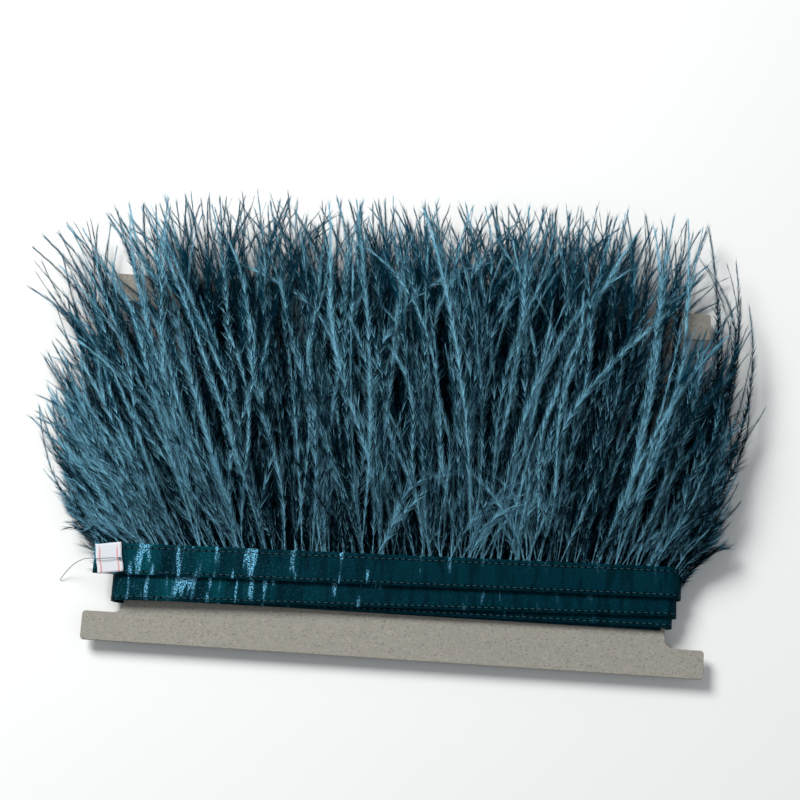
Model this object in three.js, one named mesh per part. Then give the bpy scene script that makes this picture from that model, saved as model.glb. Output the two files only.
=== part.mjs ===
// Feather fringe trim, wound flat on a notched winding card.
//
// Two ribbons with the butts of the plumes sewn between them make the header of the trim.
// The header goes round the waist of the card seven times: four passes lie in front of the
// card and three behind it, and the outer end stops at the left with a label on it.
// Millimetres. X runs along the card, Y towards the feather tips, Z up, out of the card's face.

import * as THREE from 'three';

// ---- Driving dimensions -------------------------------------------------------------

// Winding card
const cardLength = 280;
const cardHeight = 172;
const cardThickness = 1.8;
const tabHeight = 13;        // the four lugs that keep the trim from slipping off
const notchDepth = 18;       // how far the waist is let in at each end
const notchRadius = 4.5;
const cardCornerRadius = 1.6;

// Header of the trim
const ribbonWidth = 14;
const ribbonThickness = 0.35;
const seamWidth = 0.7;
const seamThickness = 0.25;
const upperSeamInset = 1.9;  // from the ribbon's upper edge to the middle of the seam
const lowerSeamInset = 1.4;
const tailLength = 8.5;      // the outer end, past the left folds

// Winding
const frontPasses = 4;
const backPasses = frontPasses - 1;
const lowestFold = 0.6;      // from the lower notch corner up to the ribbon's lower edge
const rightFoldRise = [3.7, 8.6, 16.9];   // innermost first, above the lowest fold
const leftFoldRise = [1.6, 0.8, 0];
const innerEndRise = 2.6;
const innerEndInset = 2;     // the inner end stops short of the right edge of the waist
const tailRise = 10.9;

// Plumes
const plumeLength = 156;
const frontLoft = 27;        // how far the front plumes stand up above their roots
const loftRun = 82;          // over this length
const fanReach = 47;         // how far the outermost plumes sweep past the ends of the waist
const fanZone = 52;          // the stretch at each end of the waist that fans out
const fanDrop = 34;          // how much lower the outermost tips end
const frontPlumes = 5;       // plumes side by side in one pass
const backPlumes = 3;

// End label and thread
const labelWidth = 11.5;
const labelThickness = 0.25;
const labelInset = 1.2;      // from the cut end of the ribbon
const knotLength = 2.2;
const knotWidth = 1.2;
const knotHeight = 0.9;
const threadDiameter = 0.35;

// Clearances
const seatGap = 0.3;         // between pieces that touch
const besideGap = 0.5;       // between plumes side by side
const looseGap = 1.2;        // between the front passes where they stand up
const tableGap = 0.3;        // the back seams clear the table that the back plumes lie on

// ---- Sizes that follow ---------------------------------------------------------------

const packThickness = 2 * ribbonThickness + seatGap + seatGap + seamThickness;
const passPitch = packThickness + seatGap;
const faceOffset = ribbonThickness + seatGap;
const seamOffset = faceOffset + ribbonThickness + seatGap;
const waistHalf = cardLength / 2 - notchDepth;
const cardUnderside = tableGap + backPasses * passPitch;
const cardMiddle = cardUnderside + cardThickness / 2;
const cardTop = cardUnderside + cardThickness;
const lowestEdge = -cardHeight / 2 + tabHeight + notchRadius + lowestFold;
const lowestCentre = lowestEdge + ribbonWidth / 2;
const highestEdge = lowestCentre + Math.max(...rightFoldRise) + ribbonWidth / 2;
const freeHeight = highestEdge + 2;   // above this no ribbon holds the plumes down

const passOffset = (pass) => seatGap + (pass - 1) * passPitch;   // pass 1 is the innermost

// ---- Materials -------------------------------------------------------------------------

const chipboard = new THREE.MeshStandardMaterial({ color: 0xb1aaa1, roughness: 0.95, metalness: 0 });
const satin = new THREE.MeshStandardMaterial({ color: 0x0e4552, roughness: 0.35, metalness: 0 });
const backing = new THREE.MeshStandardMaterial({ color: 0x0b3540, roughness: 0.6, metalness: 0 });
const sewingThread = new THREE.MeshStandardMaterial({ color: 0x1a5866, roughness: 0.6, metalness: 0 });
const plume = new THREE.MeshStandardMaterial({ color: 0x1d4c63, roughness: 0.8, metalness: 0 });
const paleWoven = new THREE.MeshStandardMaterial({ color: 0xe4e8ea, roughness: 0.8, metalness: 0 });
const greyThread = new THREE.MeshStandardMaterial({ color: 0x5c7180, roughness: 0.7, metalness: 0 });

const assembly = new THREE.Group();
const trim = new THREE.Group();
assembly.add(trim);

function addPiece(parent, name, geometry, material) {
  const mesh = new THREE.Mesh(geometry, material);
  mesh.name = name;
  parent.add(mesh);
  return mesh;
}

// A box whose points are all moved by place(u, v, w), with u, v and w from 0 to 1.
function shapedBox(uSteps, vSteps, wSteps, place) {
  const geometry = new THREE.BoxGeometry(1, 1, 1, uSteps, vSteps, wSteps);
  const position = geometry.attributes.position;
  for (let i = 0; i < position.count; i += 1) {
    const spot = place(position.getX(i) + 0.5, position.getY(i) + 0.5, position.getZ(i) + 0.5);
    position.setXYZ(i, spot.x, spot.y, spot.z);
  }
  return geometry;
}

// ---- Winding card ----------------------------------------------------------------------

// One quarter of the outline: the notch corner and the two outer corners of its lug.
// sideX and sideY are +1 or -1, and the points run the same way round for all four.
function cardQuarter(sideX, sideY) {
  const points = [];
  const tabEdge = cardHeight / 2 - tabHeight;
  const arc = (x, y, radius, from, to, steps) => {
    for (let i = 0; i <= steps; i += 1) {
      const turn = from + ((to - from) * i) / steps;
      points.push([x + radius * Math.cos(turn), y + radius * Math.sin(turn)]);
    }
  };
  const half = cardLength / 2;
  arc(waistHalf + notchRadius, tabEdge - notchRadius, notchRadius, Math.PI, Math.PI / 2, 5);
  arc(half - cardCornerRadius, tabEdge + cardCornerRadius, cardCornerRadius, -Math.PI / 2, 0, 3);
  arc(half - cardCornerRadius, cardHeight / 2 - cardCornerRadius, cardCornerRadius, 0, Math.PI / 2, 3);
  const placed = points.map(([x, y]) => new THREE.Vector2(sideX * x, sideY * y));
  return sideX * sideY > 0 ? placed : placed.reverse();
}

function windingCard() {
  const outline = [
    ...cardQuarter(1, 1), ...cardQuarter(-1, 1), ...cardQuarter(-1, -1), ...cardQuarter(1, -1),
  ];
  const geometry = new THREE.ExtrudeGeometry(new THREE.Shape(outline), {
    depth: cardThickness,
    bevelEnabled: false,
  });
  geometry.translate(0, 0, cardUnderside);
  return geometry;
}

addPiece(assembly, 'winding_card', windingCard(), chipboard);

// ---- The wound header --------------------------------------------------------------------

const foldSteps = 8;
const innerEndX = waistHalf - innerEndInset;
const tailX = -waistHalf - passOffset(frontPasses) - tailLength;

// The header's route from its inner end to its outer end. Each station holds the place of the
// inner face of the header, the way out of the card there, and the height of its middle.
function headerRoute() {
  const stations = [];
  const onFront = (x, pass, height) => {
    const z = cardTop + passOffset(pass);
    stations.push({ x, z, outX: 0, outZ: 1, height });
  };
  const fold = (side, offsetFrom, offsetTo, fromFront, height) => {
    for (let i = 0; i <= foldSteps; i += 1) {
      const share = i / foldSteps;
      const turn = (fromFront ? 0.5 - share : share - 0.5) * Math.PI;
      const radius = cardThickness / 2 + offsetFrom + (offsetTo - offsetFrom) * share;
      const outX = side * Math.cos(turn);
      const outZ = Math.sin(turn);
      stations.push({
        x: side * waistHalf + radius * outX,
        z: cardMiddle + radius * outZ,
        outX,
        outZ,
        height,
      });
    }
  };
  onFront(innerEndX, 1, lowestCentre + innerEndRise);
  for (let pass = 1; pass < frontPasses; pass += 1) {
    const left = lowestCentre + leftFoldRise[pass - 1];
    const right = lowestCentre + rightFoldRise[pass - 1];
    fold(-1, passOffset(pass), passOffset(pass), true, left);
    fold(1, passOffset(pass), passOffset(pass + 1), false, right);
  }
  onFront(tailX, frontPasses, lowestCentre + tailRise);
  return stations;
}

const route = headerRoute();

// A band that follows the header: off is its distance out from the header's inner face, and
// low its lower edge above the header's lower edge.
function wrappedBand(off, thickness, low, width) {
  const last = route.length - 1;
  return shapedBox(last, 1, 1, (u, v, w) => {
    const station = route[Math.round((1 - u) * last)];
    const out = off + thickness * w;
    return new THREE.Vector3(
      station.x + out * station.outX,
      station.height - ribbonWidth / 2 + low + width * v,
      station.z + out * station.outZ,
    );
  });
}

const upperSeamLow = ribbonWidth - upperSeamInset - seamWidth / 2;
const lowerSeamLow = lowerSeamInset - seamWidth / 2;
addPiece(trim, 'header_backing_ribbon',
  wrappedBand(0, ribbonThickness, 0, ribbonWidth), backing);
addPiece(trim, 'header_face_ribbon',
  wrappedBand(faceOffset, ribbonThickness, 0, ribbonWidth), satin);
addPiece(trim, 'upper_seam_thread',
  wrappedBand(seamOffset, seamThickness, upperSeamLow, seamWidth), sewingThread);
addPiece(trim, 'lower_seam_thread',
  wrappedBand(seamOffset, seamThickness, lowerSeamLow, seamWidth), sewingThread);

// ---- Plumes ---------------------------------------------------------------------------------

const ease = (t) => t * t * (3 - 2 * t);
const clamped = (t) => Math.min(Math.max(t, 0), 1);

// Where the flues that start at x are, this share of the way from the free height to their
// tips. They lean outwards near the ends of the waist, and all passes are combed level.
function freeSpot(x, share) {
  const side = Math.sign(x);
  const fan = clamped((Math.abs(x) - waistHalf + fanZone) / fanZone) ** 2;
  const tip = highestEdge + plumeLength - fanDrop * fan;
  return {
    x: x + side * fanReach * fan * Math.sin((share * Math.PI) / 2),
    y: freeHeight + (tip - freeHeight) * share,
  };
}

const acrossSteps = 3;
const freeSteps = 6;

// One plume of a pass: a closed body between two heights above the card, from x0 to x1. It
// goes straight up from its root to the free height.
function plumeBody(x0, x1, rootAt, lowerAt, upperAt) {
  return shapedBox(acrossSteps, freeSteps + 1, 1, (u, v, w) => {
    const x = x0 + (x1 - x0) * u;
    const row = Math.round(v * (freeSteps + 1));
    const spot = row === 0 ? { x, y: rootAt(x) } : freeSpot(x, (row - 1) / freeSteps);
    return new THREE.Vector3(spot.x, spot.y, w < 0.5 ? lowerAt(spot.y) : upperAt(spot.y));
  });
}

const liftAt = (y) => ease(clamped((y - freeHeight) / loftRun));

// Where the plumes of a pass come out of its header, whose middle has one height at its left
// end and another at its right end.
function rootLine(leftX, leftRise, rightX, rightRise) {
  return (x) => {
    const rise = leftRise + ((rightRise - leftRise) * (x - leftX)) / (rightX - leftX);
    return lowestCentre + rise + ribbonWidth / 2 + seatGap;
  };
}

// Adds one pass of plumes side by side, between two heights above the card.
function addPlumes(label, count, rootAt, lowerAt, upperAt) {
  const width = (2 * waistHalf) / count;
  for (let i = 0; i < count; i += 1) {
    const x0 = -waistHalf + i * width + besideGap / 2;
    const x1 = x0 + width - besideGap;
    addPiece(trim, `${label}_plume_${i + 1}`, plumeBody(x0, x1, rootAt, lowerAt, upperAt), plume);
  }
}

for (let pass = 1; pass <= frontPasses; pass += 1) {
  const inner = cardTop + passOffset(pass);
  const rootAt = rootLine(
    pass < frontPasses ? -waistHalf : tailX,
    pass < frontPasses ? leftFoldRise[pass - 1] : tailRise,
    pass > 1 ? waistHalf : innerEndX,
    pass > 1 ? rightFoldRise[pass - 2] : innerEndRise,
  );
  const lowerRise = ((pass - 1) / frontPasses) * frontLoft;
  const upperRise = (pass / frontPasses) * frontLoft - looseGap;
  const lowerAt = (y) => inner + lowerRise * liftAt(y);
  const upperAt = (y) => inner + packThickness + upperRise * liftAt(y);
  const label = `front_pass_${frontPasses + 1 - pass}`;   // pass 1 is the one that shows
  addPlumes(label, frontPlumes, rootAt, lowerAt, upperAt);
}

for (let pass = 1; pass <= backPasses; pass += 1) {
  const upper = cardUnderside - passOffset(pass);
  const lower = pass < backPasses ? upper - packThickness : 0;
  const rootAt = rootLine(-waistHalf, leftFoldRise[pass - 1], waistHalf, rightFoldRise[pass - 1]);
  addPlumes(`back_pass_${backPasses + 1 - pass}`, backPlumes, rootAt, () => lower, () => upper);
}

// ---- End label and its thread -------------------------------------------------------------

const faceTop = cardTop + passOffset(frontPasses) + packThickness;
const labelX = tailX + labelInset + labelWidth / 2;
const labelY = lowestCentre + tailRise;
const labelZ = faceTop + seatGap;

const label = addPiece(trim, 'end_label',
  new THREE.BoxGeometry(labelWidth, ribbonWidth, labelThickness), paleWoven);
label.position.set(labelX, labelY, labelZ + labelThickness / 2);

const knotZ = labelZ + labelThickness + seatGap + knotHeight / 2;
const knot = addPiece(trim, 'label_tack_knot', new THREE.SphereGeometry(0.5, 10, 6), greyThread);
knot.scale.set(knotLength, knotWidth, knotHeight);
knot.position.set(labelX + labelWidth / 2 - knotLength / 2, labelY, knotZ);

// The loose end of the tacking thread: it leaves the knot, crosses the label and hangs down to the table.
const threadStart = knot.position.clone().add(new THREE.Vector3(-knotLength / 2 - seatGap, 0, 0));
const threadPoints = [
  [0, 0, 0], [-3.2, -0.3, 0.5], [-7.8, -0.9, 0.6], [-13.5, -0.9, -1.2], [-18.8, -2.4, -6.6],
  [-23.0, -5.2, -12.4], [-26.3, -9.1, -15.8],
].map(([x, y, z]) => new THREE.Vector3(x, y, z).add(threadStart));

const threadSection = new THREE.Shape();
threadSection.absarc(0, 0, threadDiameter / 2, 0, 2 * Math.PI, false);
const threadRoute = new THREE.CatmullRomCurve3(threadPoints);
addPiece(trim, 'loose_thread', new THREE.ExtrudeGeometry(threadSection, {
  steps: 40,
  curveSegments: 4,
  bevelEnabled: false,
  extrudePath: threadRoute,
}), greyThread);

// ---- Frame: the origin is under the middle of the whole object, on the table ------------------

const bounds = new THREE.Box3().setFromObject(assembly);
assembly.position.set(
  -(bounds.min.x + bounds.max.x) / 2,
  -(bounds.min.y + bounds.max.y) / 2,
  -bounds.min.z,
);

export default assembly;
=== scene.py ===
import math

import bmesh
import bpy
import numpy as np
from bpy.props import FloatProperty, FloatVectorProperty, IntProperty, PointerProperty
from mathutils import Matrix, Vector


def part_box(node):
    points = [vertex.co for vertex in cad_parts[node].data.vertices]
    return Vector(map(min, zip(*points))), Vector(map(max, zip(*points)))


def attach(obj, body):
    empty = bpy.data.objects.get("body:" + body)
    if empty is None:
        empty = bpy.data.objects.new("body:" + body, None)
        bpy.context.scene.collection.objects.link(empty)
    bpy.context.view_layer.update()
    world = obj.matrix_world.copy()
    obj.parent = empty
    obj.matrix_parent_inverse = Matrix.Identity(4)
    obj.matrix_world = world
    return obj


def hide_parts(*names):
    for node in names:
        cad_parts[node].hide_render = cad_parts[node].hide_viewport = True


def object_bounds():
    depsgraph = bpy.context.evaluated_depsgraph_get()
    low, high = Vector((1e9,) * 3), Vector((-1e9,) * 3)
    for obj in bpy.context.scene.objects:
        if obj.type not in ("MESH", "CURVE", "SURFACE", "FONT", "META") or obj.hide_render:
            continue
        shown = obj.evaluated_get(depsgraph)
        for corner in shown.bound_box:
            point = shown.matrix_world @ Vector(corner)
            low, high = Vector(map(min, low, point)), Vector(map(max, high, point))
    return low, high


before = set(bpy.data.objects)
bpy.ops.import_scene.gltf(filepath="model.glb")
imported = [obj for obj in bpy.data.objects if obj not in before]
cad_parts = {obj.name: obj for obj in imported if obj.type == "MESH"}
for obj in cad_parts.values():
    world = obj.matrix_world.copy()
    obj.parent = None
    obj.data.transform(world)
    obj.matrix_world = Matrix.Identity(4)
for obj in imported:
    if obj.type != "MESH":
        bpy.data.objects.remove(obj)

bl_info = {
    "name": "Feather fringe on a winding card",
    "version": (1, 0, 0),
    "blender": (4, 5, 0),
    "location": "View3D > Sidebar > Fringe",
    "description": "Feather fringe trim wound on a notched card, built round its packed frame",
    "category": "Object",
}

MM = 0.001
CAD_BOX = [list(corner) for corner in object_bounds()]
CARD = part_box("winding_card")
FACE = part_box("header_face_ribbon")
CARD_TOP = CARD[1].z
CARD_UNDERSIDE = CARD[0].z
CARD_MIDDLE = (CARD_TOP + CARD_UNDERSIDE) / 2
CARD_THICKNESS = CARD_TOP - CARD_UNDERSIDE

# The card's outline
TAB_HEIGHT = 13 * MM
NOTCH_DEPTH = 18 * MM
NOTCH_RADIUS = 4.5 * MM
CARD_CORNER = 1.6 * MM
SAME_PLACE = 1e-7
WAIST_HALF = CARD[1].x - NOTCH_DEPTH

# The header: how its layers lie one outside the other, from the inner face outwards
RIBBON_WIDTH = 14 * MM
RIBBON_THICKNESS = 0.35 * MM
SEAT_GAP = 0.3 * MM
SEAM_THICKNESS = 0.25 * MM
FACE_OFFSET = RIBBON_THICKNESS + SEAT_GAP
SEAM_OFFSET = FACE_OFFSET + RIBBON_THICKNESS + SEAT_GAP
ROOT_OFFSET = RIBBON_THICKNESS + SEAT_GAP / 2
PASS_PITCH = SEAM_OFFSET + SEAM_THICKNESS + SEAT_GAP
SEAM_START = 1.5 * MM
UPPER_SEAM_INSET = 1.9 * MM
LOWER_SEAM_INSET = 1.4 * MM

# The winding: heights of the header's middle at its folds, innermost fold first
FRONT_PASSES = 4
LOWEST_CENTRE = FACE[0].y + RIBBON_WIDTH / 2
RIGHT_FOLD_RISE = [3.7 * MM, 8.6 * MM, 16.9 * MM]
LEFT_FOLD_RISE = [1.6 * MM, 0.8 * MM, 0.0]
INNER_END_RISE = 2.6 * MM
INNER_END_INSET = 2 * MM
TAIL_RISE = 10.9 * MM
TAIL_X = FACE[0].x
FOLD_STEPS = 14

# Threads
THREAD_PLY_PITCH = 0.5 * MM
SEAM_THREAD_RADIUS = 0.16 * MM
CUT_END_YARNS = 34
CUT_END_RADIUS = 0.07 * MM
CUT_END_STUB = 0.4 * MM

# The flues: how they lie in bundles and locks, and how far they may reach
FLUE_STEPS = 15
BUNDLE_PITCH = 4.4 * MM
BUNDLE_WIDTH = 0.75 * MM
LOCK_WIDTH = 8.5 * MM
ROOT_BELOW_EDGE = 2 * MM
SHORTEST_FLUE = 20 * MM
LONGEST_FLUE = 168 * MM
SIDE_LIMIT = CAD_BOX[1][0] + 9 * MM
TOP_LIMIT = CAD_BOX[1][1] + 9 * MM
HEIGHT_LIMIT = CAD_BOX[1][2] + 7 * MM

# The flues' own map: stems lie in its first half across and hairs in its second, each with
# its tint spread over this share, and the corners of a face this far apart
STEM_PLACE = 0.02
HAIR_PLACE = 0.52
TINT_SPREAD = 0.42
STEM_CORNERS = 0.012
HAIR_CORNERS = 0.014

# Plumes on each front and each back pass
FRONT_PLUMES = 5
BACK_PLUMES = 3

# Flues near the card keep off its faces, and count as near up to this far past its edges
CARD_CLEARANCE = 0.15 * MM
CARD_MARGIN = 2 * MM

TRIM = "trim"


# ---- Settings --------------------------------------------------------------


class CardSettings(bpy.types.PropertyGroup):
    """Looks of the winding card."""

    colour: FloatVectorProperty(
        name="Card colour", description="Grey chipboard", subtype="COLOR",
        default=(0.275, 0.262, 0.232), min=0, max=1)
    edge_radius: FloatProperty(
        name="Edge radius", description="How far the cut edges are crushed round",
        default=0.3 * MM, unit="LENGTH", min=0)


class HeaderSettings(bpy.types.PropertyGroup):
    """Looks of the ribbons, the seams, the label and its thread."""

    satin: FloatVectorProperty(
        name="Satin colour", description="Face of the ribbon", subtype="COLOR",
        default=(0.0006, 0.0175, 0.028), min=0, max=1)
    # Colour of painted highlights: the satin's glints, painted into its base colour.
    sparkle: FloatVectorProperty(
        name="Sparkle colour", description="Floats of the satin that catch the light",
        subtype="COLOR", default=(0.17, 0.50, 0.74), min=0, max=1)
    station_step: FloatProperty(
        name="Station step", description="Distance between rows of points along the ribbons",
        default=2 * MM, unit="LENGTH", min=0.5 * MM)
    stitch_length: FloatProperty(
        name="Stitch length", description="Length of one lockstitch", default=2.3 * MM,
        unit="LENGTH", min=0.5 * MM)
    stitch_pitch: FloatProperty(
        name="Stitch pitch", description="From one stitch to the next", default=3.0 * MM,
        unit="LENGTH", min=0.5 * MM)
    thread_colour: FloatVectorProperty(
        name="Thread colour", description="Sewing thread of the seams", subtype="COLOR",
        default=(0.012, 0.075, 0.100), min=0, max=1)
    label_colour: FloatVectorProperty(
        name="Label colour", description="Ground of the end label", subtype="COLOR",
        default=(0.60, 0.62, 0.67), min=0, max=1)
    stripe_colour: FloatVectorProperty(
        name="Stripe colour", description="The two stripes of the label", subtype="COLOR",
        default=(0.60, 0.20, 0.19), min=0, max=1)
    tack_colour: FloatVectorProperty(
        name="Tack thread colour", description="Grey thread that tacks the label on",
        subtype="COLOR", default=(0.10, 0.15, 0.19), min=0, max=1)


class PlumeSettings(bpy.types.PropertyGroup):
    """How the flues of the plumes lie and look."""

    length: FloatProperty(
        name="Flue length", description="From the header to the tip", default=162 * MM,
        unit="LENGTH", min=20 * MM)
    stem_radius: FloatProperty(
        name="Stem radius", description="Radius of a flue's stem at its root",
        default=0.14 * MM, unit="LENGTH", min=0.02 * MM)
    barbule_length: FloatProperty(
        name="Barbule length", description="Length of the fine hairs on the stems",
        default=4.8 * MM, unit="LENGTH", min=0.2 * MM)
    barbule_width: FloatProperty(
        name="Barbule width", description="Width of a fine hair at its foot",
        default=0.21 * MM, unit="LENGTH", min=0.01 * MM)
    barbule_pitch: FloatProperty(
        name="Barbule pitch", description="From one fine hair to the next along a stem",
        default=0.21 * MM, unit="LENGTH", min=0.05 * MM)
    barbule_angle: FloatProperty(
        name="Barbule angle", description="How far the hairs stand off the stem",
        default=math.radians(17), unit="ROTATION", min=0, max=math.pi / 2)
    # From deep to pale runs the flues' colour ramp. Its dark end also carries painted shade of the
    # inner passes and lower locks, its pale end painted highlights on tips and stems.
    deep: FloatVectorProperty(
        name="Deep colour", description="Darkest flues, down in the pile", subtype="COLOR",
        default=(0.0006, 0.0045, 0.008), min=0, max=1)
    middle: FloatVectorProperty(
        name="Middle colour", description="The dye's own teal", subtype="COLOR",
        default=(0.0008, 0.042, 0.076), min=0, max=1)
    pale: FloatVectorProperty(
        name="Pale colour", description="Palest flues and tips", subtype="COLOR",
        default=(0.23, 0.54, 0.71), min=0, max=1)
    seed: IntProperty(
        name="Seed", description="Which lay of the flues is made", default=11, min=0)


class StageSettings(bpy.types.PropertyGroup):
    """Floor, light and camera."""

    floor: FloatVectorProperty(
        name="Floor colour", description="Pale ground", subtype="COLOR",
        default=(0.80, 0.81, 0.81), min=0, max=1)
    distance: FloatProperty(
        name="Camera distance", description="From the card", default=0.9, unit="LENGTH", min=0.1)
    tilt: FloatProperty(
        name="Camera tilt", description="Away from straight down, towards the header",
        default=math.radians(14.8), unit="ROTATION")
    swing: FloatProperty(
        name="Camera swing", description="Round the vertical", default=math.radians(-4.6),
        unit="ROTATION")
    roll: FloatProperty(
        name="Camera roll", description="About the line of sight", default=math.radians(3.6),
        unit="ROTATION")
    lens: FloatProperty(
        name="Lens", description="Focal length on a 36 mm sensor, in millimetres",
        default=87.4, min=10)


def settings():
    return bpy.context.scene.fringe


class FringeSettings(bpy.types.PropertyGroup):
    """All the settings of the model."""

    card: PointerProperty(type=CardSettings)
    header: PointerProperty(type=HeaderSettings)
    plumes: PointerProperty(type=PlumeSettings)
    stage: PointerProperty(type=StageSettings)


# ---- Meshes and node trees -------------------------------------------------


def add_object(name, data):
    made = bpy.data.objects.new(name, data)
    bpy.context.scene.collection.objects.link(made)
    return made


def mesh_object(name, points, faces, smooth=True):
    mesh = bpy.data.meshes.new(name)
    mesh.from_pydata([tuple(p) for p in points], [], faces)
    mesh.validate()
    mesh.polygons.foreach_set("use_smooth", [smooth] * len(mesh.polygons))
    mesh.update()
    return add_object(name, mesh)


def face_outwards(made, merge_within=0.0):
    """Turns a closed shell's faces outwards, once points this close together are merged."""
    work = bmesh.new()
    work.from_mesh(made.data)
    if merge_within:
        bmesh.ops.remove_doubles(work, verts=work.verts, dist=merge_within)
    bmesh.ops.recalc_face_normals(work, faces=work.faces)
    work.to_mesh(made.data)
    work.free()


def closed_sheet(name, points, places, rows, columns):
    """A thin closed sheet: two layers of rows by columns points with a rim round them, and
    the place of each point on the sheet as its map."""
    other = rows * columns
    faces = []
    for i in range(rows - 1):
        for j in range(columns - 1):
            a, b = i * columns + j, (i + 1) * columns + j
            faces.append((a, b, b + 1, a + 1))
            faces.append((other + a, other + a + 1, other + b + 1, other + b))
        a, b = i * columns, (i + 1) * columns
        faces.append((a, other + a, other + b, b))
        a, b = a + columns - 1, b + columns - 1
        faces.append((a, b, other + b, other + a))
    for j in range(columns - 1):
        faces.append((j, j + 1, other + j + 1, other + j))
        a = (rows - 1) * columns + j
        faces.append((a, other + a, other + a + 1, a + 1))
    sheet = mesh_object(name, points, faces)
    layer = sheet.data.uv_layers.new(name="UVMap")
    corners = np.empty(len(sheet.data.loops), np.int32)
    sheet.data.loops.foreach_get("vertex_index", corners)
    layer.data.foreach_set("uv", np.array(places)[corners].astype(np.float32).ravel())
    face_outwards(sheet)
    return sheet


def plain_mesh(made):
    """What an object's modifiers, or a curve's settings, make of it."""
    graph = bpy.context.evaluated_depsgraph_get()
    graph.update()
    return bpy.data.meshes.new_from_object(made.evaluated_get(graph), depsgraph=graph)


def set_inputs(tree, made, inputs):
    """Sets a node's inputs, given by name or number, to values, or joins sockets to them."""
    for name, value in inputs.items():
        if isinstance(value, bpy.types.NodeSocket):
            tree.links.new(value, made.inputs[name])
        else:
            made.inputs[name].default_value = value


def node(tree, kind, inputs=None, **properties):
    """Adds a node. Its inputs are named or numbered, and hold values or other sockets."""
    made = tree.nodes.new(kind)
    for name, value in properties.items():
        setattr(made, name, value)
    set_inputs(tree, made, inputs or {})
    return made


def maths(tree, operation, *values, clamp=False):
    inputs = dict(enumerate(values))
    return node(tree, "ShaderNodeMath", inputs, operation=operation, use_clamp=clamp).outputs[0]


def vector_maths(tree, operation, *values):
    made = node(tree, "ShaderNodeVectorMath", dict(enumerate(values)), operation=operation)
    return made.outputs[0]


def colour_mix(tree, factor, first, second):
    """Mixes two colours. The Mix node's colour sockets are its sixth and seventh."""
    made = node(tree, "ShaderNodeMix", {0: factor, 6: first, 7: second},
                data_type="RGBA", clamp_factor=True)
    return made.outputs[2]


def rgba(colour, times=1.0):
    """A colour for a socket, made this many times as bright."""
    return (*(min(part * times, 1) for part in colour), 1.0)


def ranged(tree, value, low, high, to_low=0.0, to_high=1.0, smooth=True):
    made = node(tree, "ShaderNodeMapRange", {0: value, 1: low, 2: high, 3: to_low, 4: to_high})
    made.interpolation_type = "SMOOTHSTEP" if smooth else "LINEAR"
    return made.outputs[0]


def new_material(name):
    made = bpy.data.materials.new(name)
    made.use_nodes = True
    tree = made.node_tree
    return made, tree, tree.nodes["Principled BSDF"]


def socket(tree, name, in_out, kind, default=None):
    made = tree.interface.new_socket(name, in_out=in_out, socket_type=kind)
    if default is not None:
        made.default_value = default
    return made


def shader_group(name, inputs, outputs):
    """Starts a shader node group; inputs and outputs are (name, socket kind, default)."""
    tree = bpy.data.node_groups.new(name, "ShaderNodeTree")
    for title, kind, default in inputs:
        socket(tree, title, "INPUT", kind, default)
    for title, kind in outputs:
        socket(tree, title, "OUTPUT", kind)
    return tree, tree.nodes.new("NodeGroupInput"), tree.nodes.new("NodeGroupOutput")


def use_group(tree, group, inputs):
    return node(tree, "ShaderNodeGroup", inputs, node_tree=group)


def shared_group(name, build):
    return bpy.data.node_groups.get(name) or build(name)


# ---- Shared finishes -------------------------------------------------------


def weave_group(name):
    """Over-and-under threads on a band: along and across are in metres."""
    tree, given, put = shader_group(
        name,
        [("Along", "NodeSocketFloat", 0.0), ("Across", "NodeSocketFloat", 0.0),
         ("Thread", "NodeSocketFloat", 0.2 * MM), ("Float Share", "NodeSocketFloat", 0.7)],
        [("Height", "NodeSocketFloat"), ("Mask", "NodeSocketFloat")])
    warp = maths(tree, "MULTIPLY", maths(tree, "DIVIDE", given.outputs["Across"],
                                         given.outputs["Thread"]), math.tau)
    weft = maths(tree, "MULTIPLY", maths(tree, "DIVIDE", given.outputs["Along"],
                                         given.outputs["Thread"]), math.tau / 4)
    ridge = maths(tree, "ABSOLUTE", maths(tree, "SINE", maths(tree, "MULTIPLY", warp, 0.5)))
    binder = maths(tree, "SINE", maths(tree, "ADD", weft, maths(tree, "MULTIPLY", warp, 0.4)))
    height = maths(tree, "MULTIPLY_ADD", ridge, given.outputs["Float Share"],
                   maths(tree, "MULTIPLY", binder, 0.3))
    tree.links.new(height, put.inputs["Height"])
    tree.links.new(ranged(tree, height, 0.2, 1.0), put.inputs["Mask"])
    return tree


def speckle_group(name):
    """Fibres and specks of a pulp board or a matt ground, on Object coordinates."""
    tree, given, put = shader_group(
        name,
        [("Scale", "NodeSocketFloat", 900.0), ("Stretch", "NodeSocketFloat", 1.0)],
        [("Cloud", "NodeSocketFloat"), ("Specks", "NodeSocketFloat"),
         ("Fibres", "NodeSocketFloat")])
    place = tree.nodes.new("ShaderNodeTexCoord").outputs["Object"]
    cloud = node(tree, "ShaderNodeTexNoise",
                 {"Vector": place, "Scale": maths(tree, "MULTIPLY", given.outputs["Scale"], 0.05),
                  "Detail": 4.0})
    specks = node(tree, "ShaderNodeTexNoise",
                  {"Vector": place, "Scale": given.outputs["Scale"], "Detail": 2.0})
    stretched = vector_maths(
        tree, "MULTIPLY", place,
        node(tree, "ShaderNodeCombineXYZ",
             {0: 1.0, 1: given.outputs["Stretch"], 2: 1.0}).outputs[0])
    fibres = node(tree, "ShaderNodeTexNoise",
                  {"Vector": stretched, "Detail": 3.0, "Distortion": 1.5,
                   "Scale": maths(tree, "MULTIPLY", given.outputs["Scale"], 0.45)})
    tree.links.new(cloud.outputs[0], put.inputs["Cloud"])
    tree.links.new(specks.outputs[0], put.inputs["Specks"])
    tree.links.new(fibres.outputs[0], put.inputs["Fibres"])
    return tree


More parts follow.
